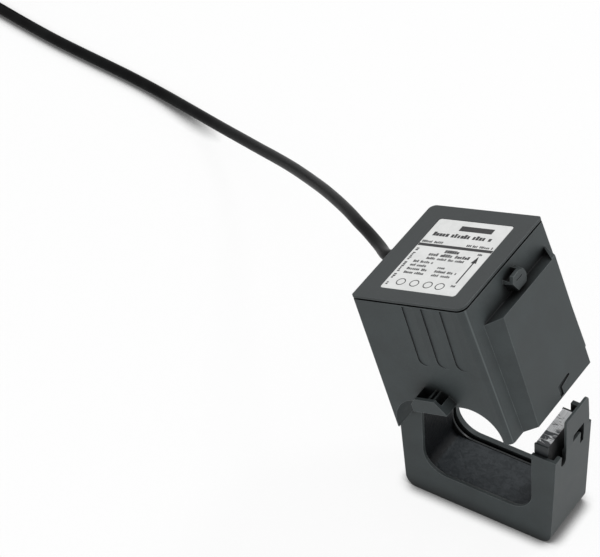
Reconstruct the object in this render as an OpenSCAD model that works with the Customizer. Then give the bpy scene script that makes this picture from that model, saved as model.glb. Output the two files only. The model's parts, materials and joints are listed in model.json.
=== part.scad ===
// Split-core current transformer, shown part open.
// The yoke stands on its base with the head hinged open on its left arm.
// Origin: centre of the yoke's base. X across the window, Y along the conductor, Z up.

/* [Window] */
// Width of the conductor window
window_w = 42.4; // [38:0.2:46]
// Height of the half of the window that is in the head
head_window_h = 13; // [12.5:0.5:14]
// Radius of the window's upper corners
window_top_r = 12; // [6:0.5:12]
// Radius of the window's lower corners
window_low_r = 9; // [4:0.5:12]

/* [Head] */
// Overhang of the lid past each side of the window
lid_over = 0.85; // [0.6:0.05:1.2]
// Depth of the head along the conductor
head_d = 50.5; // [46:0.5:60]
// Height of the head above the joint plane, with its lid
head_h = 55.2; // [54.5:0.1:62]
// Thickness of the lid
lid_t = 0.9; // [0.8:0.1:1.3]
// Height of the shadow gap under the lid
lid_gap = 0.7; // [0.3:0.1:0.9]
// Radius of the lid's front right corner
lid_r = 3.2; // [1.5:0.1:5]
// Radius of the lid's rear left corner
lid_back_r = 2.4; // [1.5:0.1:4]
// Radius of the lid's other two corners
lid_sharp_r = 1; // [0.8:0.1:2]
// Sideways offset of the head's box from the window
box_shift = 1.25; // [1:0.05:1.5]
// Draft of the head's sides
head_draft = 1.5; // [0.5:0.1:2]
// Wall of the head at the lid
head_wall = 1.9; // [1.4:0.1:2.2]
// Floor between the window and the winding space
head_floor = 2; // [1.2:0.1:3]
// Wall of the side bulges outside the core
bulge_wall = 2.1; // [2:0.1:3]
// Depth of the groove between the lid and the bulge's edge
groove_drop = 9.4; // [8.5:0.1:10]
// Front end of the bulge's face
bulge_front = 13.5; // [13.2:0.1:15]
// Rear end of the bulge's face
bulge_rear = 19.4; // [18.5:0.1:20.5]
// Length along Y of the bulge's front corner flat
bulge_flat = 7.4; // [5:0.1:7.6]
// Rear end of the groove on the bulge's face
groove_rear = 17.1; // [16.5:0.1:17.5]

/* [Yoke] */
// Depth of the yoke along the conductor
yoke_d = 23.8; // [23.7:0.1:24.2]
// Height of the yoke's rim
rim_z = 40.4; // [38:0.1:44]
// Thickness of the yoke under the window
bar_h = 11.5; // [11:0.1:13]
// Draft of the yoke's sides
yoke_draft = 2.9; // [2:0.1:3.5]
// Radius of the yoke's lower corners
foot_r = 4.5; // [2:0.5:6]
// Front wall of the yoke
front_wall = 1.2; // [1:0.1:1.3]
// Rear wall of the yoke
rear_wall = 2; // [1.5:0.1:2.1]
// Outer wall of the yoke
side_wall = 1.6; // [1.2:0.1:2]
// Floor of the yoke
yoke_floor = 1.8; // [1.2:0.1:2.2]

/* [Hinge] */
// Distance of the hinge axis from the side of the yoke's base
hinge_inset = 1.7; // [1.5:0.1:2]
// Depth of the hinge axis below the rim
hinge_drop = 0.3; // [0.1:0.1:0.5]
// Angle by which the head stands open
open_angle = 17.6; // [0:0.1:40]
// Diameter of the hinge trunnions
trunnion_d = 3.2; // [2.4:0.1:3.4]
// Length of the hinge trunnions
trunnion_l = 1.4; // [1:0.1:1.5]
// Clearance round the trunnions
trunnion_gap = 0.05; // [0.04:0.01:0.15]
// Radius of the hinge ears
ear_r = 3.2; // [2.8:0.1:3.4]
// Gap between the yoke's rim and the closed head
seat_gap = 0.2; // [0.1:0.05:0.4]
// Sideways offset of the closed head from the yoke
close_shift = 0.8; // [0.7:0.05:0.9]

/* [Latch] */
// Front edge of the latch tongue
tongue_front = -4.9; // [-5.2:0.1:-4.6]
// Rear edge of the latch tongue
tongue_rear = 10.4; // [9.8:0.1:10.8]
// Thickness of the latch tongue
tongue_t = 1; // [0.8:0.1:1.3]
// Height of the tongue above the rim
tongue_rise = 13.3; // [10:0.1:14]
// Width of the slot in front of the tongue
slot_w = 3.2; // [2:0.1:3.6]
// Height of the locating tab above the rim
tab_rise = 5.8; // [5:0.1:8]

/* [Core] */
// Thickness of the core's strip stack
core_t = 4.7; // [4:0.1:4.8]
// Depth of the core along the conductor
core_d = 17.8; // [16:0.1:18]
// Distance of the core from the window
core_gap = 0.7; // [0.5:0.05:0.8]
// Front face of the core
core_front = -9.8; // [-9.85:0.05:-9.7]
// Height of the lower core's pole faces above the rim
pole_rise = 4.4; // [3:0.1:5]
// Gap between the pole faces when closed
pole_gap = 0.2; // [0.1:0.05:0.4]
// Outer radius of the core's corners
core_r = 8; // [6:0.5:9]

/* [Coil] */
// Thickness of the secondary winding
winding_t = 5.6; // [4:0.1:6]
// Thickness of the winding's tape
tape_t = 0.4; // [0.2:0.1:0.5]
// Wall of the bobbin
bobbin_t = 1; // [0.8:0.1:1.2]

/* [Label] */
// Margin of the label at the lid's left edge
label_left = 7.75; // [5:0.05:10]
// Margin of the label at the lid's right edge
label_right = 6.65; // [5:0.05:10]
// Margin of the label at the lid's front edge
label_front = 5.9; // [4:0.1:10]
// Margin of the label at the lid's rear edge
label_rear = 6.7; // [4:0.1:10]
// Thickness of the rating label
label_t = 0.2; // [0.1:0.05:0.3]
// Depth of the label's recess
label_recess = 0.3; // [0.25:0.05:0.4]

/* [Cable] */
// Diameter of the cable
cable_d = 4.4; // [4:0.1:4.6]
// Diameter across the middle of the stored turns
coil_d = 52.8; // [47:0.1:58]
// Layers of cable in the stored coil, across and up
coil_layers = 4; // [3:1:4]
// Diameter of one insulated core
lead_d = 1.8; // [1.4:0.1:1.9]
// Length of the insulated cores at the far end
lead_l = 22; // [15:1:30]
// Diameter of the end ferrules
ferrule_d = 1.3; // [1:0.1:1.5]
// Length of the end ferrules
ferrule_l = 9; // [6:0.5:12]

/* [Hidden] */
$fn = 64;
eps = 0.01;
far = 100;

housing_grey = [0.27, 0.28, 0.28];
steel_grey = [0.72, 0.73, 0.74];
film_black = [0.12, 0.13, 0.15];

// clearances
slip = 0.15;      // a piece in its pocket
swing = 0.2;      // beside a moving face
touch = 0.05;     // between seated faces

// yoke
half_w = window_w / 2;
yoke_y = yoke_d / 2;
hinge_z = rim_z - hinge_drop;
core_half = half_w + core_gap;
core_out = core_half + core_t;
shell_gap = 0.3;  // between the core and the yoke's outer wall
yoke_w = 2 * (core_out + shell_gap + side_wall);
hinge_x = yoke_w / 2 - hinge_inset;
core_rear = core_front + core_d;
core_y = core_front + core_d / 2;
pole_z = rim_z + pole_rise;
wrap_t = 0.4;
film_t = 0.2;
spring_t = 0.5;
carrier_t = 0.7;
carrier_in = core_half - 0.3;
carrier_out = core_out + 0.2;
carrier_top = pole_z - 0.1;
spring_w = 0.7 * window_w;
rail_x = 12;
rail_w = 4;
slot_drop = 5.5;
tab_in = 1.7;
hook_leg = 2.2;
hook_drop = 5.2;
bar_z = bar_h - 1 - wrap_t - core_t;
ear_gap = 1.2;
head_y = 1.2;

// head
lid_w = window_w + 2 * lid_over;
box_top = head_h - lid_t - lid_gap;
box_x = lid_w / 2;
bulge_x = core_out + bulge_wall;
bulge_h = box_top - groove_drop;
groove_slope = 0.9;
bulge_back = 4;
root_in = 3;
notch_h = 2.4;
foot_corner = 1.8;
bulge_lean = 1.4;
shoulder_lip = 0.4;
shoulder_rise = 1.6;
cavity_x = box_x - head_wall;
cavity_y = head_d / 2 - head_wall;
cavity_z = head_window_h + head_floor;
leg_z = pole_z + pole_gap - rim_z - seat_gap;
coil_half = min(core_half - (core_r - core_t), cavity_x - 1.5) - slip;
coil_x0 = close_shift - coil_half;
coil_x1 = close_shift + coil_half;
flange_t = 1.2;
flange_rim = 0.4;
spool_t = bobbin_t + slip;
flange_h = spool_t + winding_t + tape_t + flange_rim;
plug_h = 1.2;
plug_t = 1.2;
coil_clear = 2.3;
core_top = box_top - plug_h - coil_clear - flange_h;
lug_h = 5.3;
lug_out = 6.35;
lug_z = head_window_h + 1.2;
lug_x = 0.6;
catch_h = 5.1;
catch_l = 7.6;
catch_leg = 2;
catch_depth = 0.6;
flute_x = -1.35;
flute_step = 7.45;
flute_l = 24;
flute_w = 4.6;
flute_depth = 0.4;
flute_r = 2.6;
flute_lean = 2.2;
label_w = lid_w - label_left - label_right;
label_l = head_d - label_front - label_rear;
label_x = box_shift - box_x + label_left + label_w / 2;
label_y = -head_d / 2 + label_front + label_l / 2;

// cable
inner_d = 1;
sleeve_d = 1.9;
tape_rear = core_y - head_y + core_d / 2 + spool_t + winding_t + tape_t;
run_y = tape_rear + 0.4 + sleeve_d / 2 + touch;
jacket_x = -bulge_x + 5.5;
lead_bend = box_shift - cavity_x + inner_d / 2 + slip;
sleeve_x = lead_bend + 4.5;
sleeve_l = 6;
exit_y = 13.5;
exit_z = bulge_h - 3.5;
entry_l = 8;
entry_clear = 3.2;
boot_l = 9;
boot_r = 3.1;
coil_lift = 0.6;
coil_side = coil_layers * cable_d;
coil_in = coil_d / 2 - coil_side / 2;
coil_out = coil_d / 2 + coil_side / 2;
turn_out = coil_out - cable_d / 2;
coil_at = [-352, 133.4 + turn_out];
leave_x = coil_at[0] + sqrt(pow(coil_out + cable_d / 2, 2) - pow(turn_out, 2)) + touch;
tail_fall = 38;
tail_x = leave_x + tail_fall;
tail_l = 12;
lead_sep = 1;
lead_z = 1.2;

// Points that the cable passes, from the strain relief to the stored coil
route_from = [-51.2, 14.7, 75.5];
route_points = [
    [-54, 17, 74.5], [-59, 22, 72], [-67, 29, 68], [-75, 35.5, 64.2], [-83.5, 42, 60],
    [-95, 51, 53.8], [-107.5, 60, 47], [-119, 68.5, 40.5], [-131, 76, 34], [-142.5, 83.5, 27.8],
    [-154, 90.5, 22], [-165, 97, 16.8], [-176, 102, 12], [-188, 107.5, 7.8], [-200, 111.5, 4.8],
    [-213, 115, 3], [-227, 118, 2.3], [-241, 120, 2.2], [-255, 121.5, 2.2], [-269, 123, 2.2],
    [-283, 124.5, 2.2], [-298, 127, 2.2], [-311, 130, 2.2], [-323, 132.5, 2.2]];
route_blend = 12;

// ---------- frames ----------

// places the head, from its own frame, on the open hinge
module in_head() {
    translate([-hinge_x, head_y, hinge_z])
        rotate([0, -open_angle, 0])
            translate([hinge_x - close_shift, 0, hinge_drop + seat_gap])
                children();
}

// draws in the yoke's frame as it lies when the head is closed, seen from the head
module closed_yoke() {
    translate([close_shift, -head_y, -rim_z - seat_gap])
        children();
}

// ---------- outlines ----------

// extrudes an XZ outline along Y, between two Y values
module along_y(y0, y1) {
    translate([0, y1, 0])
        rotate([90, 0, 0])
            linear_extrude(y1 - y0)
                children();
}

// extrudes a YZ outline along X, between two X values
module along_x(x0, x1) {
    translate([x0, 0, 0])
        rotate([90, 0, 90])
            linear_extrude(x1 - x0)
                children();
}

module box(x0, x1, y0, y1, z0, z1) {
    translate([x0, y0, z0])
        cube([x1 - x0, y1 - y0, z1 - z0]);
}

module round_rect(w, l, r) {
    square([w - 2 * r, l], center = true);
    square([w, l - 2 * r], center = true);
    for (x = [-1, 1], y = [-1, 1])
        translate([x * (w / 2 - r), y * (l / 2 - r)])
            circle(r);
}

// U outline, open upwards, with rounded lower corners
module cup(half, z0, z1, r) {
    translate([-half, z0 + r])
        square([2 * half, z1 - z0 - r]);
    translate([-half + r, z0])
        square([2 * (half - r), r + eps]);
    for (s = [-1, 1])
        translate([s * (half - r), z0 + r])
            circle(r);
}

// outer half width of the yoke at a height
function yoke_half(z) = yoke_w / 2 + z * tan(yoke_draft);

// drafted outline of the yoke, inset by t at the sides, with its lower corners rounded
module yoke_outline(t, z0, z1, r) {
    half = yoke_half(z0) - t;
    cx = half + r * tan(yoke_draft) - r / cos(yoke_draft);
    tx = cx + r * cos(yoke_draft);
    tz = z0 + r - r * sin(yoke_draft);
    top = yoke_half(z1) - t;
    polygon([[-cx, z0], [cx, z0], [tx, tz], [top, z1], [-top, z1], [-tx, tz]]);
    for (s = [-1, 1])
        translate([s * cx, z0 + r])
            circle(r);
}

// ---------- lower half ----------

module tongue_blank() {
    face = yoke_half(rim_z) + 0.1;
    top = rim_z + tongue_rise;
    low = rim_z - slot_drop - slot_w;
    intersection() {
        along_y(-yoke_y, yoke_y)
            polygon([[yoke_half(low) - tongue_t - 0.2, low], [yoke_half(low), low], [yoke_half(rim_z), rim_z],
                [face, top], [face - tongue_t, top], [face - tongue_t, rim_z]]);
        along_x(half_w, yoke_w)
            polygon([[tongue_front, low], [tongue_front, top - 0.5], [tongue_front + 0.5, top],
                [tongue_rear - 2, top], [tongue_rear - 1.1, top - 0.4], [tongue_rear - 0.6, top - 1.4],
                [tongue_rear, rim_z + 4], [tongue_rear, low]]);
    }
}

module latch_cuts() {
    leg_y = tongue_rear - 3.5;
    hook_z = rim_z + 3.3;
    slot_z = rim_z - slot_drop + slot_w / 2;
    // slot in front of the tongue
    box(half_w + core_t, yoke_w, tongue_front - slot_w, tongue_front, slot_z, rim_z + far);
    along_x(half_w + core_t, yoke_w)
        translate([tongue_front - slot_w / 2, slot_z])
            circle(slot_w / 2);
    // hook-shaped window
    along_x(half_w + core_t, yoke_w)
        polygon([[tongue_front + 4.4, rim_z + 0.4], [tongue_front + 4.4, hook_z - 1], [tongue_front + 5.1, hook_z],
            [leg_y, hook_z], [leg_y, rim_z - hook_drop], [leg_y - hook_leg, rim_z - hook_drop],
            [leg_y - hook_leg, rim_z + 0.4]]);
}

module hinge_ear(y0, y1) {
    translate([-hinge_x, y1, hinge_z])
        rotate([90, 0, 0])
            cylinder(r = ear_r, h = y1 - y0);
}

module trunnion(y0, y1) {
    translate([-hinge_x, y1, hinge_z])
        rotate([90, 0, 0])
            cylinder(d = trunnion_d, h = y1 - y0);
}

module lower_housing() {
    color(housing_grey) {
        difference() {
            along_y(-yoke_y, yoke_y)
                yoke_outline(0, 0, rim_z, foot_r);
            along_y(-yoke_y + front_wall, yoke_y - rear_wall)
                yoke_outline(side_wall, yoke_floor, rim_z + 1, foot_r - side_wall);
            along_y(-far, far)
                cup(half_w, bar_h, rim_z + far, window_low_r);
            latch_cuts();
        }
        difference() {
            tongue_blank();
            latch_cuts();
        }
        // locating tab behind the right pole
        box(core_half + tab_in, core_out, yoke_y - rear_wall + 0.3, yoke_y, rim_z - eps, rim_z + tab_rise);
        hinge_ear(-yoke_y, -yoke_y + front_wall);
        hinge_ear(yoke_y - rear_wall, yoke_y);
        trunnion(-yoke_y - trunnion_l, -yoke_y + eps);
        trunnion(yoke_y - eps, yoke_y + trunnion_l);
    }
}

// U outline of the strip core between two radii
module core_outline(z0, z1, grow) {
    difference() {
        cup(core_out + grow, z0 - grow, z1, core_r + grow);
        cup(core_half - grow, z0 + core_t + grow, z1 + 1, core_r - core_t - grow / 2);
    }
}

module lower_core() {
    color(steel_grey)
        along_y(core_front, core_rear)
            core_outline(bar_z, pole_z, 0);
}

module carrier_side(y0) {
    along_y(y0, y0 + carrier_t)
        difference() {
            cup(carrier_out, bar_z - 0.1, carrier_top, core_r);
            cup(carrier_in, bar_h - 0.8, far, window_low_r - 0.5);
        }
}

module core_carrier() {
    front = core_front - touch - carrier_t;
    color(housing_grey) {
        carrier_side(front);
        carrier_side(core_rear + touch);
        // rails under the core tie the two sides
        for (s = [-1, 1])
            box(s * rail_x - rail_w / 2, s * rail_x + rail_w / 2, front, core_rear + touch + carrier_t, bar_z - 0.6, bar_z - touch);
    }
}

// insulating film on the faces that look into the window
module core_wrap() {
    color(film_black)
        along_y(core_front + touch, core_rear - touch)
            difference() {
                cup(core_half - touch, bar_z + core_t + touch, rim_z, core_r - core_t);
                cup(core_half - 0.3, bar_z + core_t + wrap_t, far, core_r - core_t + 0.4);
            }
}

// bowed leaf that presses the core up against the head
module core_spring() {
    rise = bar_z - 0.6 - yoke_floor - spring_t - touch;
    bow_r = (spring_w * spring_w / 4 + rise * rise) / (2 * rise);
    color("silver")
        intersection() {
            along_y(core_y - 4, core_y + 4)
                translate([0, yoke_floor + touch + rise + spring_t - bow_r - spring_t])
                    difference() {
                        circle(bow_r + spring_t, $fn = 256);
                        circle(bow_r, $fn = 256);
                    }
            box(-spring_w / 2, spring_w / 2, -yoke_y, yoke_y, yoke_floor + touch, bar_z);
        }
}

// ---------- head ----------

// rectangle with a radius of its own at each corner: front right, rear left and the other two
module corners(half, front_r, back_r, sharp_r, inset) {
    hull()
        for (c = [[-1, -1, sharp_r], [1, -1, front_r], [1, 1, sharp_r], [-1, 1, back_r]])
            translate([c[0] * (half - c[2]), c[1] * (head_d / 2 - c[2])])
                circle(c[2] - inset);
}

module lid_outline(inset) {
    corners(box_x, lid_r, lid_back_r, lid_sharp_r, inset);
}

module head_box() {
    low_half = box_x + box_top * tan(head_draft);
    difference() {
        hull() {
            translate([box_shift, 0, 0])
                linear_extrude(eps)
                    corners(low_half, foot_corner, foot_corner, lid_sharp_r, 0);
            translate([box_shift, 0, box_top - eps])
                linear_extrude(eps)
                    lid_outline(0);
        }
        // notch at the foot of the rear right corner
        box(box_shift + box_x - 1.8, far, bulge_rear, far, -1, notch_h);
    }
}

// bulge that houses one leg of the core, s = 1 right and -1 left
module bulge(s) {
    side = box_shift * s + box_x;
    root = side - root_in;
    flat_x = bulge_x - root;
    rear = bulge_rear + bulge_back;
    // end of the groove, from the bulge's face in to the box
    end_in = groove_rear + 0.8 * flat_x;
    mirror([s < 0 ? 1 : 0, 0, 0])
        intersection() {
            hull()
                for (z = [0, bulge_h]) {
                    front = -bulge_front - bulge_lean * (1 - z / bulge_h);
                    translate([0, 0, z])
                        linear_extrude(z > 0 ? groove_drop : eps)
                            polygon([[root, front - bulge_flat], [bulge_x, front], [bulge_x, bulge_rear], [root, rear]]);
                }
            union() {
                along_y(-far, far)
                    polygon([[root, 0], [bulge_x, 0], [bulge_x, bulge_h], [root, bulge_h - groove_slope]]);
                // shoulder behind the groove
                intersection() {
                    along_y(0, far)
                        polygon([[root, 0], [bulge_x, 0], [bulge_x, bulge_h + shoulder_lip],
                            [side, bulge_h + shoulder_rise], [root, bulge_h + shoulder_rise]]);
                    linear_extrude(far)
                        polygon([[root, end_in], [bulge_x, groove_rear], [bulge_x, far], [root, far]]);
                }
            }
        }
}

// hollow lug for a cable tie at the front or rear of the window
module window_lug(s) {
    face = head_d / 2;
    mirror([0, s > 0 ? 1 : 0, 0])
        difference() {
            along_y(-face - lug_out, -face + 1)
                polygon([[lug_x - 6.7, lug_z], [lug_x + 6.7, lug_z], [lug_x + 6.2, lug_z + 1.1],
                    [lug_x + 3.2, lug_z + lug_h], [lug_x - 4.7, lug_z + lug_h], [lug_x - 6.6, lug_z + 3]]);
            difference() {
                along_y(-face - lug_out + 1.3, -face)
                    polygon([[lug_x - 4.6, lug_z + 1.6], [lug_x + 4.7, lug_z + 1.6],
                        [lug_x + 4.7, far], [lug_x - 3.6, far]]);
                for (x = [-0.1, 1.9])
                    box(lug_x + x - 0.35, lug_x + x + 0.35, -face - lug_out, -face, lug_z, lug_z + lug_h - 0.6);
            }
        }
}

// tapered lug in the groove under the lid
module groove_lug() {
    root = box_shift + box_x;
    lug_l = bulge_x - root - 0.6;
    mid_z = box_top - 5.6;
    difference() {
        translate([root - 1, 1, mid_z])
            rotate([0, 90, 0])
                linear_extrude(lug_l, scale = 0.82)
                    polygon([[3.4, -2.4], [3.4, 3.6], [0.4, 5], [-2.6, 4.2], [-3.8, 1], [-3.6, -3], [-1, -4.6]]);
        // pocket open at the top
        box(root - 0.2, root + lug_l - 2.3, -2.6, 2.8, mid_z + 0.6, far);
        // slit in the end face
        box(root + lug_l - 2.6, far, -0.6, 2.8, mid_z + 0.6, mid_z + 0.95);
    }
}

// finger flutes on the front face, deep at their left edge and fading to the right
module flutes() {
    top_z = box_top - 0.4;
    for (i = [0 : 2])
        translate([flute_x + flute_step * i, -head_d / 2, top_z])
            rotate([0, flute_lean, 0])
                intersection() {
                    translate([0, 0, -flute_l])
                        linear_extrude(flute_l)
                            polygon([[0, -1], [0, flute_depth], [flute_w, 0], [flute_w, -1]]);
                    along_y(-2, 2) {
                        translate([flute_r, -flute_l])
                            square([flute_w, far]);
                        translate([0, -flute_l + flute_r])
                            square([flute_w, far]);
                        translate([flute_r, -flute_l + flute_r])
                            circle(flute_r);
                    }
                }
}

module core_channels() {
    y0 = core_front - head_y - slip;
    y1 = core_rear - head_y + slip;
    left = close_shift - core_out - slip;
    right = close_shift + core_out + slip;
    top = core_top + slip;
    inner = core_half - film_t - slip - touch;
    box(left, close_shift - inner, y0, y1, -1, top);
    box(close_shift + inner, right, y0, y1, -1, top);
    box(left, right, y0, y1, cavity_z, top);
}

// room for what stands above the yoke's rim when the head is closed
module yoke_pockets() {
    closed_yoke() {
        for (s = [-1, 1])
            box(s > 0 ? carrier_in - swing : -carrier_out - swing, s > 0 ? carrier_out + 0.3 : -carrier_in + 0.9,
                core_front - carrier_t - 0.3, core_rear + carrier_t + 0.3, rim_z - 2, carrier_top + 0.9);
        box(core_half + tab_in - 0.5, core_out + 0.6, yoke_y - rear_wall, yoke_y + swing, rim_z - 2, rim_z + tab_rise + 0.5);
        translate([-hinge_x, yoke_y + swing, hinge_z])
            rotate([90, 0, 0])
                cylinder(r = ear_r + ear_gap, h = yoke_d + 2 * swing);
    }
}

module hinge_bores() {
    closed_yoke()
        translate([-hinge_x, yoke_y + trunnion_l + swing, hinge_z])
            rotate([90, 0, 0])
                cylinder(d = trunnion_d + 2 * trunnion_gap, h = yoke_d + 2 * trunnion_l + 2 * swing);
}

// recess round the catch at the foot of the right bulge
module catch_slots() {
    along_x(bulge_x - catch_depth, far)
        polygon([[0, 0.5], [0, catch_h - 0.2], [catch_l - 1, catch_h + 0.2], [catch_l, catch_h - 0.1],
            [catch_l - 0.1, catch_h - 0.8], [catch_leg, catch_h - 1.7], [catch_leg, 0.5]]);
}

module cable_entry() {
    translate([-bulge_x - 1, exit_y, exit_z])
        rotate([0, 90, 0])
            cylinder(d = cable_d + 2 * touch, h = entry_l);
    box(-bulge_x + entry_l - 2.5, 0, exit_y - entry_clear, exit_y + entry_clear, exit_z - entry_clear,
        exit_z + entry_clear);
}

module upper_housing() {
    color(housing_grey)
        in_head()
            difference() {
                union() {
                    head_box();
                    bulge(1);
                    bulge(-1);
                    window_lug(-1);
                    window_lug(1);
                    groove_lug();
                    // bosses that carry the hinge bores
                    closed_yoke()
                        translate([-hinge_x, 0, hinge_z])
                            rotate([90, 0, 0])
                                cylinder(r = ear_r, h = yoke_d + 2 * trunnion_l + 1.6, center = true);
                }
                // window
                along_y(-far, far)
                    translate([0, head_window_h])
                        mirror([0, 1])
                            cup(half_w, 0, far, window_top_r);
                // winding space
                translate([box_shift, 0, cavity_z])
                    linear_extrude(far)
                        round_rect(2 * cavity_x, 2 * cavity_y, 1.5);
                core_channels();
                yoke_pockets();
                hinge_bores();
                catch_slots();
                cable_entry();
                flutes();
            }
}

module lid() {
    color(housing_grey)
        in_head()
            difference() {
                union() {
                    translate([box_shift, 0, head_h - lid_t])
                        linear_extrude(lid_t)
                            lid_outline(0);
                    translate([box_shift, 0, box_top])
                        linear_extrude(lid_gap + eps)
                            lid_outline(0.9);
                    translate([box_shift, 0, box_top - plug_h])
                        linear_extrude(plug_h + eps)
                            round_rect(2 * (cavity_x - touch), 2 * (cavity_y - touch), 1.45);
                }
                translate([box_shift, 0, box_top - plug_h - 1])
                    linear_extrude(plug_h + 1)
                        round_rect(2 * (cavity_x - plug_t), 2 * (cavity_y - plug_t), 1);
                translate([label_x, label_y, head_h - label_recess])
                    linear_extrude(1)
                        round_rect(label_w + 2 * slip, label_l + 2 * slip, 1.2);
            }
}

module rating_label() {
    color("white")
        in_head()
            translate([label_x, label_y, head_h - label_recess])
                linear_extrude(label_t)
                    round_rect(label_w, label_l, 1);
}

module upper_core() {
    color(steel_grey)
        in_head()
            translate([close_shift, -head_y, 0])
                along_y(core_front, core_rear)
                    translate([0, core_top])
                        mirror([0, 1])
                            core_outline(0, core_top - leg_z, 0);
}

// film over the legs where they pass the window
module core_film(s) {
    color(film_black)
        in_head()
            translate([close_shift, -head_y, 0])
                box(s > 0 ? core_half - film_t - touch : -core_half + touch,
                    s > 0 ? core_half - touch : -core_half + film_t + touch,
                    core_front, core_rear, leg_z + 2, head_window_h);
}

module spool_section(grow) {
    // section of the core's top bar, grown all round, in YZ
    translate([core_y - head_y, core_top - core_t / 2])
        square([core_d + 2 * grow, core_t + 2 * grow], center = true);
}

module bobbin() {
    color([0.2, 0.35, 0.3])
        in_head()
            difference() {
                union() {
                    along_x(coil_x0, coil_x1)
                        spool_section(spool_t);
                    along_x(coil_x0, coil_x0 + flange_t)
                        spool_section(flange_h);
                    along_x(coil_x1 - flange_t, coil_x1)
                        spool_section(flange_h);
                }
                along_x(coil_x0 - 1, coil_x1 + 1)
                    spool_section(slip);
            }
}

module wound(inner, outer, inset) {
    along_x(coil_x0 + flange_t + inset, coil_x1 - flange_t - inset)
        difference() {
            spool_section(outer);
            spool_section(inner);
        }
}

module secondary_winding() {
    color([0.65, 0.35, 0.15])
        in_head()
            wound(spool_t + touch, spool_t + winding_t, touch);
}

module winding_tape() {
    color([0.85, 0.75, 0.3])
        in_head()
            wound(spool_t + winding_t + touch, spool_t + winding_t + tape_t, touch);
}

function wire_z(s) = exit_z + s * 1.2;

module winding_lead(s) {
    color(s > 0 ? "white" : "brown")
        in_head()
            sweep([[jacket_x + touch, exit_y, wire_z(s)], [jacket_x + 1, exit_y, wire_z(s)],
                [lead_bend, run_y, wire_z(s)], [sleeve_x + 2 * sleeve_l, run_y, wire_z(s)]], inner_d, 12);
}

module splice_sleeve(s) {
    color("black")
        in_head()
            translate([sleeve_x, run_y, wire_z(s)])
                rotate([0, 90, 0])
                    difference() {
                        cylinder(d = sleeve_d, h = sleeve_l, $fn = 32);
                        translate([0, 0, -1])
                            cylinder(d = inner_d + 2 * touch, h = sleeve_l + 2, $fn = 32);
                    }
}

// ---------- cable ----------

module strain_relief() {
    color("black")
        in_head()
            translate([-bulge_x - touch, exit_y, exit_z])
                rotate([0, -90, 0])
                    rotate_extrude()
                        polygon([[cable_d / 2 + touch, 0], [boot_r + 0.6, 0], [boot_r + 0.6, 1], [boot_r, 1.2],
                            [cable_d / 2 + 0.5, boot_l], [cable_d / 2 + touch, boot_l]]);
}

// world place of a point of the head
function to_world(p) = let (
        x = p[0] + hinge_x - close_shift,
        z = p[2] + hinge_drop + seat_gap)
    [x * cos(open_angle) - z * sin(open_angle) - hinge_x, p[1] + head_y,
        x * sin(open_angle) + z * cos(open_angle) + hinge_z];

function unit(v) = v / norm(v);
function heading(p, i) = unit(p[min(i + 1, len(p) - 1)] - p[max(i - 1, 0)]);

// a tube of circular section through the given points
module sweep(p, d, sides) {
    rings = [for (i = [0 : len(p) - 1])
        let (t = heading(p, i), u = unit(cross(t, [0, 0, 1])), w = cross(u, t))
        for (k = [0 : sides - 1])
            p[i] + d / 2 * (u * cos(360 * k / sides) + w * sin(360 * k / sides))];
    last = (len(p) - 1) * sides;
    polyhedron(
        points = rings,
        faces = concat(
            [[for (k = [sides - 1 : -1 : 0]) k]],
            [for (i = [0 : len(p) - 2], k = [0 : sides - 1])
                [i * sides + k, i * sides + (k + 1) % sides, (i + 1) * sides + (k + 1) % sides, (i + 1) * sides + k]],
            [[for (k = [0 : sides - 1]) last + k]]));
}

module cable() {
    start = to_world([jacket_x, exit_y, exit_z]);
    mouth = to_world([-bulge_x - boot_l - 0.8, exit_y, exit_z]);
    off = mouth - route_from;
    route = [for (i = [0 : len(route_points) - 1]) route_points[i] + off * max(0, 1 - (i + 1) / route_blend)];
    finish = [leave_x, coil_at[1] - turn_out, cable_d / 2];
    color("black")
        sweep(concat([start, mouth], route, [finish]), cable_d, 12);
}

module cable_coil() {
    color("black")
        translate([coil_at[0], coil_at[1], coil_lift])
            rotate_extrude($fn = 96)
                translate([coil_in, 0])
                    square(coil_side);
}

module coil_tie(turn) {
    color([0.2, 0.2, 0.2])
        translate([coil_at[0], coil_at[1], 0])
            rotate([0, 0, turn - 8])
                rotate_extrude(angle = 16, $fn = 96)
                    difference() {
                        translate([coil_in - coil_lift, 0])
                            square([coil_side + 2 * coil_lift, coil_side + 2 * coil_lift]);
                        translate([coil_in - touch, coil_lift - touch])
                            square(coil_side + 2 * touch);
                    }
}

module along_tail(x, y, z, d, l) {
    translate([x, coil_at[1] + turn_out + y, z])
        rotate([0, 90, 0])
            cylinder(d = d, h = l, $fn = 32);
}

module cable_tail() {
    high = coil_lift + coil_side - cable_d / 2;
    low = cable_d / 2;
    y = coil_at[1] + turn_out;
    fall = [for (i = [0 : 10]) let (f = i / 10)
        [leave_x + tail_fall * f, y, high + (low - high) * f * f * (3 - 2 * f)]];
    color("black")
        sweep(concat(fall, [[tail_x + tail_l, y, low]]), cable_d, 12);
}

module core_lead(s) {
    color(s > 0 ? "white" : "brown")
        along_tail(tail_x + tail_l, s * lead_sep, lead_z, lead_d, lead_l);
}

module ferrule(s) {
    color("silver")
        along_tail(tail_x + tail_l + lead_l, s * lead_sep, lead_z, ferrule_d, ferrule_l);
}

upper_housing();
lid();
rating_label();
upper_core();
core_film(-1);  // core_film_1
core_film(1);  // core_film_2
bobbin();
secondary_winding();
winding_tape();
winding_lead(1);  // winding_lead_1
winding_lead(-1);  // winding_lead_2
splice_sleeve(1);  // splice_sleeve_1
splice_sleeve(-1);  // splice_sleeve_2
strain_relief();
cable();
cable_coil();
coil_tie(0);  // coil_tie_1
coil_tie(180);  // coil_tie_2
cable_tail();
core_lead(1);  // core_lead_1
core_lead(-1);  // core_lead_2
ferrule(1);  // ferrule_1
ferrule(-1);  // ferrule_2
lower_housing();
core_carrier();
lower_core();
core_wrap();
core_spring();
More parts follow.
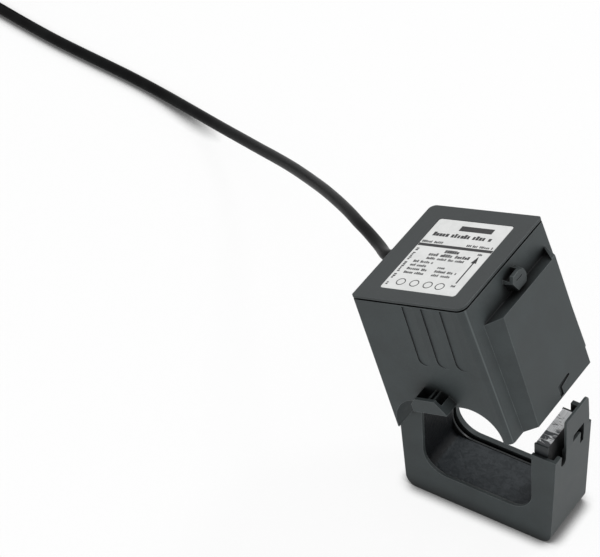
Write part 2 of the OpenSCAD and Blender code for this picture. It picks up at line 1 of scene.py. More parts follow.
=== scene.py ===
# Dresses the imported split-core current transformer: the wound lead, its grommet,
# a finish for every part, the label's print and the studio
import json
import math
import random
import bpy
import bmesh
from mathutils import Matrix, Vector


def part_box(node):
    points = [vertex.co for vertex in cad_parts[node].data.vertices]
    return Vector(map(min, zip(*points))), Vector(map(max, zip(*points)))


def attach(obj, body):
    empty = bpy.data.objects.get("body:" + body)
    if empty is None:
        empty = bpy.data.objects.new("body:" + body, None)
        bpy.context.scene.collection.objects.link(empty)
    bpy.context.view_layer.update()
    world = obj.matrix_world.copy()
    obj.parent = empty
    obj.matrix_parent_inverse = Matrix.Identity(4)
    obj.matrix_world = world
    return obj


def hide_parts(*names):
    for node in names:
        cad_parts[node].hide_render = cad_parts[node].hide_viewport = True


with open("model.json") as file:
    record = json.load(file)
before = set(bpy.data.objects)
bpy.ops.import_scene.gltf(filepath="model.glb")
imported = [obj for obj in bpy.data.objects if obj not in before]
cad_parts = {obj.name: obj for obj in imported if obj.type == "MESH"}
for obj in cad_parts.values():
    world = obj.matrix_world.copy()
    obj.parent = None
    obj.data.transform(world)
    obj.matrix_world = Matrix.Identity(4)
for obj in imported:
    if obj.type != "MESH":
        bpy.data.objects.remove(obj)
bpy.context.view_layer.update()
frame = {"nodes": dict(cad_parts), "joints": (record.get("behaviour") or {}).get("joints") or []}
nodes = frame["nodes"]
print("frame loaded:", len(nodes), "parts")


# the camera, which looks down on the open jaw from the front right
cameraLook = {
    "place": (0.36389, -0.60318, 0.76248),
    "right": (0.8366, 0.5448, -0.0566),
    "up": (-0.3385, 0.5954, 0.7286),
    "back": (0.4306, -0.5904, 0.6826),
    "lens": 180.0,
}


def makeCamera(look):
    data = bpy.data.cameras.new("camera")
    data.lens, data.sensor_width = look["lens"], 36.0
    data.clip_start, data.clip_end = 0.01, 20.0
    camera = bpy.data.objects.new("camera", data)
    bpy.context.collection.objects.link(camera)
    turn = Matrix((look["right"], look["up"], look["back"])).transposed()
    camera.matrix_world = Matrix.Translation(look["place"]) @ turn.to_4x4()
    bpy.context.scene.camera = camera


makeCamera(cameraLook)

# the head's own frame: its origin is on the hinge, and its Z is square to the lid
hinge = frame["joints"][0]
headPlace = Matrix.Translation(hinge["pos_m"]) @ Matrix.Rotation(math.radians(hinge["range_deg"][0]), 4, "Y")


def headBox(name):
    # a node's lowest and highest corners, along the head's own axes
    spots = [headPlace.inverted() @ v.co for v in nodes[name].data.vertices]
    return [Vector(pick(p[i] for p in spots) for i in range(3)) for pick in (min, max)]


def newPiece(name, bm):
    # a finished bmesh becomes an object in the scene
    mesh = bpy.data.meshes.new(name)
    bm.to_mesh(mesh)
    bm.free()
    piece = bpy.data.objects.new(name, mesh)
    bpy.context.collection.objects.link(piece)
    return piece


# the lead: one length from the grommet to its end, most of it wound up
lead = {
    "diameter": 0.0044,
    "grommetEnd": (-0.04183, 0.0147, 0.07856),   # where it leaves the head
    # millimetres, from the grommet down to the floor and on to the coil
    "route": [(-45.6, 14.7, 77.3), (-48.8, 15.4, 75.6), (-52.2, 17.4, 73.4), (-57, 22.1, 70.3),
              (-62.2, 26.2, 68.3), (-68.2, 30.5, 66.4), (-74.3, 34.7, 64.3), (-82.6, 41.2, 60.5),
              (-93.3, 49.5, 54.8), (-104.7, 58.1, 48.4), (-117.2, 67, 41.3), (-130.2, 75.8, 34.1),
              (-143.1, 83.9, 27.1), (-156, 91.3, 20.6), (-168.8, 98, 15), (-181.3, 103.9, 10.3),
              (-193.9, 109.1, 6.6), (-206.2, 113.3, 4.1), (-218, 116.5, 2.7), (-229.9, 118.8, 2.2),
              (-241.9, 120.4, 2.2), (-254.3, 121.7, 2.2), (-267.3, 123, 2.2), (-281.2, 124.6, 2.2),
              (-295.6, 126.8, 2.2), (-310.3, 129.4, 2.2), (-324, 131.8, 2.2)],
    "coilCentre": (-0.352, 0.1664),
    "joinsAt": 0.014,          # beside the coil's centre, where it comes alongside
    "joinLift": 0.0002,        # off the floor there
    "coilAcross": 0.0528,      # at the middle of its turns
    "coilLift": 0.0006,        # the straps under it
    "columns": 4,
    "layers": 4,
    "stepsPerTurn": 40,
    "firstMove": 0.83,         # of a turn, before it steps to the next row
    "stepOver": 0.17,          # of a turn, to cross to the next row
    "stepEarly": 0.22,         # of a turn, by which each change of layer comes sooner
    "leaves": -0.33435,        # where the end drops off the coil
    "drop": 0.038,             # run of the slope down to the floor
    "tail": 0.012,             # straight on the floor
    "spacing": 0.003,          # of the points on the free part
    "levelSteps": 6,           # points on the end's level run, its slope and its straight
    "slopeSteps": 16,
    "straightSteps": 4,
    "roundness": 5,
}


def smoothStep(x, lo, hi):
    f = min(1.0, max(0.0, (x - lo) / (hi - lo)))
    return f * f * (3 - 2 * f)


def throughPoints(points, spacing):
    # a smooth line that passes through all the points
    line = []
    ends = [points[0] * 2 - points[1]] + points + [points[-1] * 2 - points[-2]]
    for i in range(1, len(ends) - 2):
        a, b, c, d = ends[i - 1:i + 3]
        steps = max(2, round((c - b).length / spacing))
        for k in range(steps):
            t = k / steps
            line.append(0.5 * (2 * b + (c - a) * t + (2 * a - 5 * b + 4 * c - d) * t * t
                               + (3 * b - a - 3 * c + d) * t ** 3))
    return line + [points[-1]]


def coilPoints(spec):
    # wound clockwise from the outside in, then out again one layer higher, and so on
    d, columns = spec["diameter"], spec["columns"]
    moves = []                 # when, across, up
    turn, way, early = spec["firstMove"], -1, spec["stepEarly"]
    for level in range(spec["layers"]):
        for k in range(columns - 1):
            moves.append((turn + k, way, 0))
        turn += columns - 1 - early
        if level < spec["layers"] - 1:
            moves.append((turn, 0, 1))
            turn += 1 - early
        way = -way
    turns = math.floor(turn - 0.5 + early + 1e-6) + 0.5     # ends at the back, half a turn on
    cx, cy = spec["coilCentre"]
    points = []
    count = round(turns * spec["stepsPerTurn"])
    for i in range(count + 1):
        at = turns * i / count
        atColumn, atLayer = columns - 1.0, 0.0
        for when, across, up in moves:
            done = smoothStep(at, when, when + spec["stepOver"])
            atColumn += across * done
            atLayer += up * done
        r = spec["coilAcross"] / 2 + (atColumn - (columns - 1) / 2) * d
        angle = -math.pi / 2 - 2 * math.pi * at
        height = spec["coilLift"] + (atLayer + 0.5) * d
        points.append(Vector((cx + r * math.cos(angle), cy + r * math.sin(angle), height)))
    print("turns in the coil:", turns)
    return points


def makeLead(spec):
    free = [Vector(spec["grommetEnd"])] + [Vector(p) / 1000 for p in spec["route"]]
    turns = coilPoints(spec)
    cx, cy = spec["coilCentre"]
    outer = spec["coilAcross"] / 2 + (spec["columns"] - 1) / 2 * spec["diameter"]
    top, low = turns[-1].z, spec["diameter"] / 2
    free.append(Vector((cx + spec["joinsAt"], cy - outer, low + spec["joinLift"])))
    level, slope, straight = spec["levelSteps"], spec["slopeSteps"], spec["straightSteps"]
    tail = [Vector((cx + (spec["leaves"] - cx) * k / level, cy + outer, top)) for k in range(1, level + 1)]
    for k in range(1, slope + 1):
        fall = smoothStep(k / slope, 0, 1)
        along = spec["leaves"] + spec["drop"] * k / slope
        tail.append(Vector((along, cy + outer, top + (low - top) * fall)))
    tail += [tail[-1] + Vector((spec["tail"] * k / straight, 0, 0)) for k in range(1, straight + 1)]
    line = throughPoints(free + turns[:1], spec["spacing"])[:-1] + turns + tail
    curve = bpy.data.curves.new("lead", "CURVE")
    curve.dimensions = "3D"
    # the points' own radius gives the thickness, so the depth is one
    curve.bevel_depth, curve.bevel_resolution, curve.use_fill_caps = 1.0, spec["roundness"], True
    spline = curve.splines.new("POLY")
    spline.points.add(len(line) - 1)
    for point, place in zip(spline.points, line):
        point.co, point.radius = (*place, 1), spec["diameter"] / 2
    piece = bpy.data.objects.new("lead", curve)
    bpy.context.collection.objects.link(piece)
    length = sum((b - a).length for a, b in zip(line, line[1:]))
    print("lead: %.3f m" % length)
    return piece, line, length


leadPiece, leadLine, leadLength = makeLead(lead)
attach(leadPiece, "head")
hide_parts("cable", "cable_coil", "cable_tail")


# the grommet: a flange, then a tapered sleeve with shallow rings, bent with the lead
grommet = {
    # millimetres along the lead, and the radius there
    "profile": [(0.0, 3.7), (0.25, 3.9), (0.9, 3.9), (1.15, 3.7),
                (1.3, 3.25), (2.1, 3.15), (2.3, 2.85), (2.9, 2.82),
                (3.1, 3.08), (3.9, 3.0), (4.1, 2.72), (4.7, 2.7),
                (4.9, 2.92), (5.7, 2.84), (6.2, 2.62), (6.35, 2.3)],
    "sides": 40,
    "sunk": 0.0002,            # into the wall, so that no gap shows
}


def makeGrommet(spec, line):
    bm = bmesh.new()
    along = [0.0]
    for a, b in zip(line, line[1:20]):
        along.append(along[-1] + (b - a).length)

    def at(distance):
        # the spot at a distance along the lead, and the lead's direction there
        i = max(k for k in range(len(along) - 1) if along[k] <= max(distance, 0))
        way = (line[i + 1] - line[i]).normalized()
        smooth = (line[i + 1] - line[max(i - 1, 0)]).normalized()
        return line[i] + way * (distance - along[i]), smooth

    edges = []
    for distance, radius in spec["profile"]:
        spot, way = at(distance / 1000 - spec["sunk"])
        turn = Vector((0, 0, 1)).rotation_difference(way).to_matrix().to_4x4()
        ring = bmesh.ops.create_circle(bm, segments=spec["sides"], radius=radius / 1000,
                                       matrix=Matrix.Translation(spot) @ turn)["verts"]
        edges.append({e for v in ring for e in v.link_edges})
    for near, far in zip(edges, edges[1:]):
        bmesh.ops.bridge_loops(bm, edges=list(near | far))
    for end in (edges[0], edges[-1]):
        bmesh.ops.contextual_create(bm, geom=list(end))
    bmesh.ops.recalc_face_normals(bm, faces=bm.faces)
    for face in bm.faces:
        face.smooth = len(face.verts) == 4
    return newPiece("grommet_sleeve", bm)


grommetPiece = makeGrommet(grommet, leadLine)
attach(grommetPiece, "head")
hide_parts("strain_relief")


# the shader tools
class Signal:
    # a shader socket that can be used in sums
    def __init__(self, graph, socket):
        self.graph, self.socket = graph, socket

    def sum(self, operation, first, second):
        return self.graph.node("Math", {"operation": operation}, first, second)

    def __add__(self, other):
        return self.sum("ADD", self, other)

    def __radd__(self, other):
        return self.sum("ADD", other, self)

    def __sub__(self, other):
        return self.sum("SUBTRACT", self, other)

    def __rsub__(self, other):
        return self.sum("SUBTRACT", other, self)

    def __mul__(self, other):
        return self.sum("MULTIPLY", self, other)

    def __rmul__(self, other):
        return self.sum("MULTIPLY", other, self)

    def __gt__(self, other):
        return self.sum("GREATER_THAN", self, other)

    def __lt__(self, other):
        return self.sum("LESS_THAN", self, other)


class Graph:
    # a node tree: node() adds a node, from its type, its settings and the values or signals of its sockets
    def __init__(self, tree):
        self.tree = tree

    def feed(self, socket, value):
        if isinstance(value, Signal):
            self.tree.links.new(value.socket, socket)
        else:
            socket.default_value = value

    def node(self, kind, settings=None, *values, outlet=None, **named):
        made = self.tree.nodes.new("ShaderNode" + kind)
        for name, value in (settings or {}).items():
            setattr(made, name, value)
        inlets = [s for s in made.inputs if s.enabled]
        for socket, value in zip(inlets, values):
            self.feed(socket, value)
        for name, value in named.items():
            self.feed(next(s for s in inlets if s.name == name.replace("_", " ")), value)
        outlets = [s for s in made.outputs if s.enabled]
        return Signal(self, next((s for s in outlets if s.name == outlet), outlets[0]))

    def part(self, vector, axis):
        # one of a vector's three numbers
        return self.node("SeparateXYZ", None, vector, outlet=axis)

    def noise(self, where, scale, detail=2.0, roughness=0.5, distortion=0.0):
        return self.node("TexNoise", None, where, Scale=scale, Detail=detail, Roughness=roughness,
                         Distortion=distortion, outlet="Fac")

    def ease(self, value, low, high, toLow=0.0, toHigh=1.0):
        return self.node("MapRange", {"interpolation_type": "SMOOTHSTEP"}, value, low, high, toLow, toHigh)

    def mix(self, share, first, second, way="MIX"):
        return self.node("Mix", {"data_type": "RGBA", "blend_type": way}, Factor=share, A=first, B=second)

    def zigzag(self, value, length):
        # up from 0 to 1 and down again, once in each length
        return self.node("Math", {"operation": "PINGPONG"}, value, length / 2) * (2 / length)

    def openness(self, reach, samples):
        # 1 in the open, and less in a corner or a gap
        return self.node("AmbientOcclusion", {"samples": samples}, Distance=reach, outlet="AO")


class Finish(Graph):
    # one material, and the parts that wear it
    def __init__(self, name, **fixed):
        self.material = bpy.data.materials.new(name)
        self.material.use_nodes = True
        super().__init__(self.material.node_tree)
        self.shader = self.tree.nodes["Principled BSDF"]
        self.set(**fixed)

    def set(self, **values):
        for name, value in values.items():
            self.feed(self.shader.inputs[name.replace("_", " ")], value)

    def place(self, onHead=False, stretch=(1, 1, 1)):
        # Object coordinates, laid along the head's axes where the part is in the head
        where = self.node("TexCoord", outlet="Object")
        if onHead:
            where = self.node("Mapping", {"vector_type": "TEXTURE"}, where, Location=hinge["pos_m"],
                              Rotation=(0, math.radians(hinge["range_deg"][0]), 0))
        if stretch != (1, 1, 1):
            where = self.node("Mapping", None, where, Scale=stretch)
        return where

    def apply(self, *names):
        for name in names:
            mesh = nodes[name].data if name in nodes else bpy.data.objects[name].data
            mesh.materials.clear()
            mesh.materials.append(self.material)


def tone(red, green, blue):
    # a screen colour, each part from 0 to 255, as the light that the shader wants
    def light(c):
        c /= 255
        return c / 12.92 if c <= 0.04045 else ((c + 0.055) / 1.055) ** 2.4
    return (light(red), light(green), light(blue), 1.0)


# moulded plastic: spark-eroded grain, softened edges painted lighter (wear and painted highlight), painted shade
# in the creases
def moulded(name, spec):
    finish = Finish(name, Specular_IOR_Level=spec["sheen"])
    where = finish.place(onHead=spec["onHead"])
    grain = finish.noise(where, spec["grain"], 3, 0.65)
    cloud = finish.noise(where, spec["cloud"], 4, 0.6)
    scuffs = finish.noise(finish.place(spec["onHead"], (1, 0.22, 0.6)), spec["scuffs"], 4, 0.7, 0.4)
    # edges: the bevelled normal turns away from the true one there, and the edges are painted lighter there, as
    # wear and as painted highlight
    softened = finish.node("Bevel", {"samples": 6}, Radius=spec["edge"])
    facing = finish.node("NewGeometry", outlet="Normal")
    turned = 1 - finish.node("VectorMath", {"operation": "DOT_PRODUCT"}, softened, facing, outlet="Value")
    rubbedAndLitEdges = finish.ease(turned, 0.001, 0.05) * finish.ease(cloud, 0.3, 0.75, 0.45, 1.0)
    # the rounded front corner gets a painted highlight in one upright line
    front = finish.part(finish.node("TexCoord", outlet="Normal"), "Y")
    darkLow, lightLow, lightHigh, darkHigh = spec["cornerHighlightLine"]
    corner = finish.ease(front, darkLow, lightLow) * finish.ease(front, darkHigh, lightHigh) * spec["cornerHighlight"]
    # painted shade: darker in creases and gaps, where a point is less open
    creaseShade = finish.ease(finish.openness(spec["creaseShadeReach"], 12), 0.38, 0.97, 1.0, 0.0)
    shade = finish.mix(finish.ease(cloud, 0.3, 0.7), spec["dark"], spec["light"])
    shade = finish.mix(finish.ease(grain, 0.35, 0.7, 0.0, spec["flecks"]), shade, spec["fleck"])
    # the edges and the front corner are painted lighter: wear and painted highlight
    shade = finish.mix(rubbedAndLitEdges * spec["edgeRubAndHighlight"] + corner, shade, spec["wornAndLit"])
    shade = finish.mix(creaseShade * spec["depth"], shade, spec["creaseShadeColour"])
    height = grain * 0.7 + cloud * 0.5 + finish.ease(scuffs, 0.62, 0.75) * 0.5
    bump = finish.node("Bump", None, Strength=spec["relief"], Distance=0.00006, Height=height, Normal=softened)
    rough = spec["roughness"] + finish.ease(cloud, 0.3, 0.7, -0.035, 0.035) - rubbedAndLitEdges * 0.08
    finish.set(Base_Color=shade, Roughness=rough, Normal=bump)
    return finish


housingLook = {
    "onHead": True,
    "grain": 3600,             # scales of the patterns
    "cloud": 95,
    "scuffs": 900,
    "edge": 0.0003,            # radius of the softened edges
    "creaseShadeReach": 0.008,           # reach of the painted crease shade
    "depth": 0.96,             # how dark the painted crease shade goes
    # colour of the painted crease shade
    "creaseShadeColour": (0.0015, 0.0016, 0.0017, 1),
    "roughness": 0.5,
    "sheen": 0.3,
    "relief": 0.55,
    "dark": tone(49, 54, 55),
    "light": tone(56, 62, 63),
    "fleck": tone(76, 82, 83),
    "flecks": 0.18,
    # colour of the worn edges with painted highlight, and of the corner's painted highlight
    "wornAndLit": tone(122, 129, 130),
    "edgeRubAndHighlight": 0.6,
    # painted highlight line on the head's rounded front corner
    "cornerHighlight": 0.28,
    "cornerHighlightLine": (-0.62, -0.52, -0.46, -0.36),
}
yokeLook = dict(housingLook, onHead=False, cornerHighlight=0.0)
lidLook = dict(housingLook, grain=5200, roughness=0.44, dark=tone(44, 48, 49), light=tone(51, 55, 56),
               creaseShadeReach=0.004, relief=0.35, edgeRubAndHighlight=0.5, cornerHighlight=0.0)
carrierLook = dict(yokeLook, grain=4400, edge=0.00025, roughness=0.36, sheen=0.35, dark=tone(26, 29, 31),
                   light=tone(33, 36, 38), relief=0.4, edgeRubAndHighlight=0.3)
bobbinLook = dict(housingLook, grain=5000, roughness=0.38, dark=tone(196, 192, 180), light=tone(208, 204, 192),
                  fleck=tone(220, 216, 204), wornAndLit=tone(226, 222, 212), relief=0.25, depth=0.6, cornerHighlight=0.0)

moulded("moulded_head", housingLook).apply("upper_housing")
moulded("moulded_yoke", yokeLook).apply("lower_housing")
moulded("moulded_lid", lidLook).apply("lid")
moulded("moulded_carrier", carrierLook).apply("core_carrier")
moulded("moulded_bobbin", bobbinLook).apply("bobbin")
print("plastics done")


# the wound cores: ground pole faces, varnished strip elsewhere
def coreSteel(name, spec):
    finish = Finish(name, Specular_IOR_Level=0.5)
    onHead, endFace = spec["onHead"], spec["endFace"]
    where = finish.place(onHead)
    height, depth = finish.part(where, "Z"), finish.part(where, "Y")
    pole = height > spec["pole"] if spec["poleUp"] else height < spec["pole"]
    end = depth < endFace
    strips = finish.noise(finish.place(onHead, (1, 0.03, 1)), spec["strips"], 2, 0.7)
    layers = finish.noise(finish.place(onHead, (1, 1, 0.04)), spec["strips"], 2, 0.7)
    handled = finish.noise(finish.place(onHead, (0.28, 1, 1)), spec["smears"], 4, 0.6, 0.9)
    smudge = finish.noise(where, spec["smudges"], 4, 0.6)
    ground = finish.mix(finish.ease(strips, 0.38, 0.62), spec["low"], spec["high"])
    # darker patches on the pole face, more of them towards the front end
    nearEnd = finish.ease(depth, endFace + 0.0115, endFace + 0.004, 0, 0.2)
    darkPatches = finish.ease(handled + nearEnd, 0.6, 0.7)
    ground = finish.mix(darkPatches * 0.9, ground, spec["darkPatchColour"])
    ground = finish.mix(finish.ease(smudge, 0.55, 0.72, 0, 0.3), ground, spec["dull"])
    varnish = finish.mix(finish.ease(smudge, 0.35, 0.65), *spec["varnish"])
    cut = finish.mix(finish.ease(layers, 0.35, 0.65), *spec["cut"])
    shade = finish.mix(pole, finish.mix(end, varnish, cut), ground)
    bump = finish.node("Bump", None, Strength=0.4, Distance=0.00003, Height=strips * 0.5 + handled * 1.6)
    finish.set(Base_Color=shade, Metallic=pole * 0.35, Normal=bump,
               Roughness=0.5 - pole * 0.22 + finish.ease(smudge, 0.4, 0.7, 0, 0.12))
    return finish


skin = 0.00003                 # how far below a face its own look begins
yokeCoreLook = {
    "onHead": False,
    "poleUp": True,
    "pole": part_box("lower_core")[1][2] - skin,
    "endFace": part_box("lower_core")[0][1] + skin,
    "strips": 3300,            # scales of the patterns
    "smears": 620,
    "smudges": 260,
    "low": tone(226, 227, 229),
    "high": tone(247, 248, 249),
    "darkPatchColour": tone(44, 48, 52),
    "dull": tone(150, 151, 152),
    "varnish": (tone(17, 18, 20), tone(32, 33, 34)),
    "cut": (tone(60, 61, 62), tone(84, 86, 87)),
}
headCoreLook = dict(yokeCoreLook, onHead=True, poleUp=False, pole=headBox("upper_core")[0].z + skin)

coreSteel("yoke_core", yokeCoreLook).apply("lower_core")
coreSteel("head_core", headCoreLook).apply("upper_core")


# thin goods: wrap, film, tape, label
def creased(name, spec):
    finish = Finish(name, Specular_IOR_Level=spec["sheen"])
    where = finish.place(spec["onHead"])
    folds = finish.noise(where, spec["folds"], 4, 0.55, 0.8)
    fine = finish.noise(where, spec["folds"] * 9, 2, 0.5)
    shade = finish.mix(finish.ease(folds, 0.35, 0.65), spec["dark"], spec["light"])
    # painted shade where the surface is closed in by the parts round it
    creaseShade = finish.ease(finish.openness(0.018, 8), 0.22, 0.56, 0.92, 0)
    shade = finish.mix(creaseShade, shade, spec["dark"], "MULTIPLY")
    # painted highlight along the wrinkle ridges
    ridgeHighlight = finish.node("Math", {"operation": "PINGPONG"}, folds + fine * 0.1, 0.06)
    shade = finish.mix(finish.ease(ridgeHighlight, 0.05, 0.06, 0, 0.22), shade, spec["light"], "SCREEN")
    # painted shade where the surface faces the hinge side
    if spec["sideShade"]:
        side = finish.part(finish.node("TexCoord", outlet="Normal"), "X")
        shade = finish.mix(finish.ease(side, 0.12, 0.5, 0, spec["sideShade"]), shade, spec["sideShadeColour"])
    bump = finish.node("Bump", None, Strength=spec["relief"], Distance=0.00025, Height=folds + fine * 0.12)
    rough = finish.ease(fine, 0.3, 0.7, spec["roughness"], spec["roughness"] + 0.1)
    finish.set(Base_Color=shade, Roughness=rough, Normal=bump)
    return finish


wrapLook = {
    "onHead": False,
    "folds": 520,              # scale of the wrinkles
    "dark": tone(52, 56, 59),
    "light": tone(66, 70, 73),
    "sheen": 0.16,
    "relief": 1.0,
    "roughness": 0.42,
    "sideShade": 0.9,               # painted shade: how dark it goes where it turns up the hinge side
    "sideShadeColour": tone(12, 14, 17),
}
filmLook = dict(wrapLook, onHead=True, folds=420, dark=tone(22, 23, 24), light=tone(40, 41, 42), sheen=0.6,
                relief=0.4, roughness=0.22, sideShade=0)
tapeLook = dict(filmLook, folds=260, dark=tone(196, 166, 62), light=tone(212, 182, 78), relief=0.3, roughness=0.25)
labelLook = dict(filmLook, folds=150, dark=tone(222, 223, 222), light=tone(229, 230, 229), sheen=0.35,
                 relief=0.04, roughness=0.34)

creased("wrap", wrapLook).apply("core_wrap")
creased("film", filmLook).apply("core_film_1", "core_film_2")
creased("tape", tapeLook).apply("winding_tape")
creased("label", labelLook).apply("rating_label")


# the winding: turns of enamelled wire round the top limb
def woundWire(name, pitch):
    finish = Finish(name, Metallic=0.85, Specular_IOR_Level=0.5)
    across = finish.part(finish.place(onHead=True), "X")
    wander = finish.noise(finish.place(True, (1, 0.15, 0.15)), 500, 2)
    # each turn is painted lighter on its crest and darker in the gap to the next, as painted highlight and painted
    # shade
    turn = finish.zigzag(across + wander * pitch, pitch)
    shade = finish.mix(finish.ease(turn, 0, 0.6), tone(70, 28, 12), tone(190, 104, 62))
    bump = finish.node("Bump", None, Strength=0.9, Distance=pitch / 3, Height=finish.ease(turn, 0, 1))
    finish.set(Base_Color=shade, Roughness=finish.ease(wander, 0.3, 0.7, 0.24, 0.36), Normal=bump)
    return finish


wirePitch = 0.0004
woundWire("enamelled_wire", wirePitch).apply("secondary_winding")
print("cores and winding done")


# soft and drawn goods: cable jacket, wires, grommet, ties
def drawn(name, spec):
    finish = Finish(name, Specular_IOR_Level=spec["sheen"])
    where = finish.place()
    fine = finish.noise(where, spec["fine"], 3, 0.6)
    broad = finish.noise(where, spec["broad"], 3, 0.5, 0.3)
    shade = finish.mix(finish.ease(broad, 0.35, 0.65), spec["dark"], spec["light"])
    shade = finish.mix(finish.ease(fine, 0.55, 0.75, 0, spec["dust"]), shade, spec["dusty"])
    bump = finish.node("Bump", None, Strength=spec["relief"], Distance=0.00006, Height=fine + broad)
    rough = spec["roughness"] + finish.ease(broad, 0.3, 0.7, -0.04, 0.05) + finish.ease(fine, 0.4, 0.7, 0, 0.05)
    finish.set(Base_Color=shade, Roughness=rough, Normal=bump)
    return finish


jacketLook = {
    "fine": 1800,              # scales of the patterns
    "broad": 90,
    "sheen": 0.045,
    "roughness": 0.3,
    "relief": 0.12,
    "dark": tone(14, 14, 15),
    "light": tone(22, 23, 23),
    "dust": 0.15,
    "dusty": tone(40, 41, 41),
}
grommetLook = dict(jacketLook, roughness=0.52, dark=tone(18, 18, 19), light=tone(26, 26, 27), relief=0.5)
whiteLook = dict(jacketLook, dark=tone(222, 221, 215), light=tone(232, 231, 226), dusty=tone(205, 203, 196),
                 roughness=0.36)
brownLook = dict(jacketLook, dark=tone(88, 56, 36), light=tone(99, 64, 42), dusty=tone(116, 84, 62),
                 roughness=0.36)
sleeveLook = dict(jacketLook, roughness=0.45, relief=0.6, broad=600)
tieLook = dict(jacketLook, fine=5200, broad=900, dust=0.6, dusty=tone(66, 66, 68), relief=1.0, roughness=0.85)

drawn("jacket", jacketLook).apply("lead")
drawn("grommet", grommetLook).apply("grommet_sleeve")
drawn("white_core", whiteLook).apply("core_lead_1", "winding_lead_1")
drawn("brown_core", brownLook).apply("core_lead_2", "winding_lead_2")
drawn("shrink_sleeve", sleeveLook).apply("splice_sleeve_1", "splice_sleeve_2")
drawn("hook_and_loop", tieLook).apply("coil_tie_1", "coil_tie_2")


# bright metal: crimped ferrules and the spring leaf
def brightMetal(name, spec):
    finish = Finish(name, Metallic=1.0)
    where = finish.place()
    brushed = finish.noise(finish.place(stretch=spec["along"]), 2400, 3, 0.6)
    spots = finish.noise(where, 500, 4, 0.6)
    ribs = finish.zigzag(finish.part(where, "X"), spec["rib"])
    shade = finish.mix(finish.ease(spots, 0.4, 0.7), spec["light"], spec["dark"])
    bump = finish.node("Bump", None, Strength=0.7, Distance=spec["relief"],
                       Height=finish.ease(ribs, 0.3, 0.8) * spec["ribbed"] + brushed * 0.1)
    finish.set(Base_Color=shade, Roughness=finish.ease(brushed, 0.3, 0.7, 0.22, 0.38), Normal=bump)
    return finish


ferruleLook = {
    "along": (0.1, 1, 1),      # the brushing is drawn out along the smallest
    "light": tone(204, 205, 203),
    "dark": tone(166, 165, 160),
    "rib": 0.0011,             # from one crimp mark to the next
    "ribbed": 1.0,
    "relief": 0.00012,
}
springLook = {
    "along": (0.06, 1, 1),
    "light": tone(196, 197, 199),
    "dark": tone(150, 150, 152),
    "rib": 0.01,
    "ribbed": 0.0,
    "relief": 0.00003,
}

brightMetal("tinned_copper", ferruleLook).apply("ferrule_1", "ferrule_2")
brightMetal("spring_leaf", springLook).apply("core_spring")
print("metals and soft goods done")


# the label's print: rows of plain blocks, with no letters in them
printLook = {
    "seed": 7,
    "thick": 0.00003,
    "ink": tone(24, 24, 26),
    "inkWorn": tone(44, 44, 46),
    # shares of the label, to the right and to the rear: left, right, front and rear edge
    "bars": [(0.36, 0.80, 0.862, 0.93), (0.004, 0.996, 0.612, 0.648)],
    # left and right end, middle, height, and the blocks' boldness
    "rows": [(0.08, 0.90, 0.790, 0.054, 0.84), (0.02, 0.33, 0.676, 0.030, 0.72), (0.62, 0.98, 0.676, 0.028, 0.72),
             (0.42, 0.64, 0.566, 0.040, 0.82), (0.25, 0.82, 0.510, 0.040, 0.82), (0.26, 0.78, 0.456, 0.030, 0.72),
             (0.13, 0.42, 0.398, 0.031, 0.72), (0.13, 0.36, 0.345, 0.031, 0.72), (0.13, 0.40, 0.292, 0.031, 0.72),
             (0.13, 0.41, 0.239, 0.031, 0.72), (0.50, 0.62, 0.345, 0.031, 0.72), (0.50, 0.80, 0.292, 0.031, 0.72),
             (0.50, 0.76, 0.239, 0.031, 0.72)],
    "arrowEnds": [(0.85, 0.93, 0.575, 0.026, 0.72), (0.85, 0.93, 0.13, 0.026, 0.72)],
    "blockPitch": 0.62,        # of a row's height
    "rises": (0.72, 0.78, 1.0, 1.0),
    "column": {"left": 0.03, "front": 0.05, "rear": 0.58, "wide": (0.024, 0.034), "long": (0.012, 0.019),
               "gap": 0.0075, "missing": 0.16},
    "arrow": {"shaft": (0.874, 0.892, 0.17, 0.47), "middle": 0.883, "head": 0.455, "half": 0.034,
              "steps": 12, "step": 0.0075},
    "rings": {"middles": (0.20, 0.38, 0.56, 0.72), "up": 0.105, "radius": 0.052, "sides": 20,
              "half": (0.0055, 0.0068)},
}


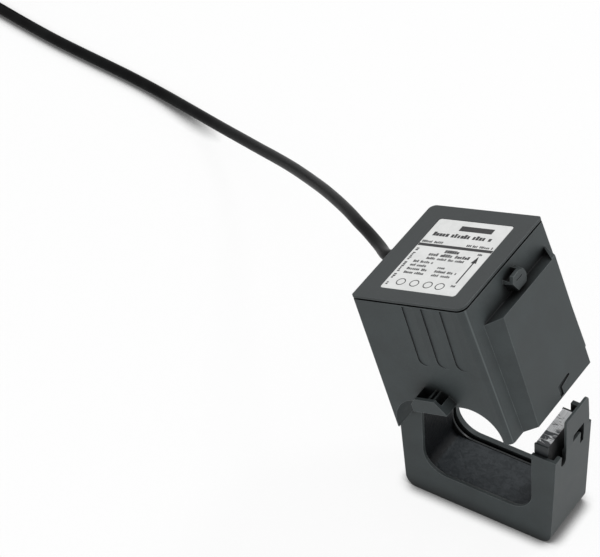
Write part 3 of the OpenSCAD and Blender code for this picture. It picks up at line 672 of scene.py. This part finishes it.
def makePrint(spec):
    lo, hi = headBox("rating_label")
    wide, deep = hi.x - lo.x, hi.y - lo.y
    draw = random.Random(spec["seed"])
    bm = bmesh.new()

    def block(u0, u1, v0, v1, lean=0.0):
        # a thin slab of ink on the label; u runs to the right and v to the rear
        middle = Vector((lo.x + wide * (u0 + u1) / 2, lo.y + deep * (v0 + v1) / 2, hi.z))
        size = (wide * (u1 - u0), deep * (v1 - v0), 2 * spec["thick"], 1)
        slab = Matrix.Translation(middle) @ Matrix.Rotation(lean, 4, "Z") @ Matrix.Diagonal(size)
        bmesh.ops.create_cube(bm, size=1.0, matrix=headPlace @ slab)

    def row(u0, u1, v, high, weight):
        # groups of blocks with gaps between them
        pitch = high * deep / wide * spec["blockPitch"]
        u = u0
        while u + pitch <= u1:
            run = draw.choice((3, 4, 5, 6, 7))
            for _ in range(run):
                if u + pitch > u1:
                    break
                w = pitch * weight * draw.uniform(0.8, 1.1)
                rise = high * draw.choice(spec["rises"])
                block(u, u + w, v - high / 2, v - high / 2 + rise)
                u += pitch
            u += pitch * draw.uniform(0.6, 1.0) + 0.16 * pitch

    for edges in spec["bars"]:
        block(*edges)
    for measures in spec["rows"]:
        row(*measures)
    column = spec["column"]
    v = column["front"]
    while v < column["rear"]:
        long = draw.uniform(*column["long"])
        if draw.random() > column["missing"]:
            block(column["left"], column["left"] + draw.choice(column["wide"]), v, v + long)
        v += long + column["gap"]
    arrow = spec["arrow"]
    block(*arrow["shaft"])
    for k in range(arrow["steps"]):
        half = arrow["half"] * (1 - k / arrow["steps"])
        near = arrow["head"] + k * arrow["step"]
        block(arrow["middle"] - half, arrow["middle"] + half, near, near + arrow["step"])
    for measures in spec["arrowEnds"]:
        row(*measures)
    rings = spec["rings"]
    halfWide, halfLong = rings["half"]
    for middle in rings["middles"]:
        for k in range(rings["sides"]):
            turn = 2 * math.pi * k / rings["sides"]
            u = middle + rings["radius"] * math.cos(turn)
            v = rings["up"] + rings["radius"] * wide / deep * math.sin(turn)
            block(u - halfWide, u + halfWide, v - halfLong, v + halfLong, turn)
    piece = newPiece("label_print", bm)
    finish = Finish("print_ink", Specular_IOR_Level=0.4)
    blot = finish.noise(finish.place(True), 900, 3, 0.6)
    finish.set(Base_Color=finish.mix(finish.ease(blot, 0.4, 0.7), spec["ink"], spec["inkWorn"]),
               Roughness=finish.ease(blot, 0.3, 0.7, 0.36, 0.5))
    finish.apply("label_print")
    return piece


printPiece = makePrint(printLook)
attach(printPiece, "head")
print("print done:", len(printPiece.data.polygons), "faces")


# the studio: a pale floor under a white sky, with soft lamps behind and in front
studio = {
    "sky": 0.74,               # its light; seen straight it is plain white
    "floor": (0.93, 0.93, 0.93, 1),
    "floorSize": 4.0,
    "floorDrop": 0.00005,      # below the yoke's base
    "floorClear": 0.9,         # share that the camera sees through, to the sky or to a yoke swung below it
    "contact": 0.0065,         # reach of the soft contact shadow
    "shadow": (0.1, 0.1, 0.1, 1),
    "lamps": [
        # place, aimed at, size, watts
        ((0.5, 0.75, 1.25), (-0.01, 0.0, 0.05), 0.3, 6.0),
        ((0.45, -1.0, 0.7), (0.0, 0.0, 0.05), 0.5, 2.0),
    ],
}


def makeStudio(spec):
    bm = bmesh.new()
    bmesh.ops.create_grid(bm, x_segments=1, y_segments=1, size=spec["floorSize"])
    floor = newPiece("studio_floor", bm)
    floor.location.z = -spec["floorDrop"]
    finish = Finish("studio_white", Base_Color=spec["floor"], Roughness=0.9, Specular_IOR_Level=0.0)
    seen = finish.node("LightPath", outlet="Is Camera Ray")
    lit = finish.ease(finish.openness(spec["contact"], 16), 0.42, 0.95)
    clear = finish.node("BsdfTransparent", None, Color=finish.mix(lit, spec["shadow"], (1, 1, 1, 1)))
    blend = finish.node("MixShader", None, seen * spec["floorClear"],
                        Signal(finish, finish.shader.outputs[0]), clear)
    finish.feed(finish.tree.nodes["Material Output"].inputs["Surface"], blend)
    floor.data.materials.append(finish.material)
    world = bpy.data.worlds.new("studio_sky")
    bpy.context.scene.world = world
    world.use_nodes = True
    sky = Graph(world.node_tree)
    seen = sky.node("LightPath", outlet="Is Camera Ray")
    for kind in ("Is Glossy Ray", "Is Transmission Ray"):
        seen = sky.node("Math", {"operation": "MAXIMUM"}, seen, sky.node("LightPath", outlet=kind))
    background = world.node_tree.nodes["Background"]
    background.inputs["Color"].default_value = (1, 1, 1, 1)
    sky.feed(background.inputs["Strength"], sky.node("MapRange", None, seen, 0, 1, spec["sky"], 1))
    for i, (place, target, size, watts) in enumerate(spec["lamps"]):
        data = bpy.data.lights.new("lamp_%d" % (i + 1), "AREA")
        data.size, data.energy = size, watts
        lamp = bpy.data.objects.new(data.name, data)
        lamp.location = place
        lamp.rotation_euler = (Vector(place) - Vector(target)).to_track_quat("Z", "Y").to_euler()
        bpy.context.collection.objects.link(lamp)


makeStudio(studio)
bpy.context.scene.view_settings.view_transform = "Standard"
print("studio done")
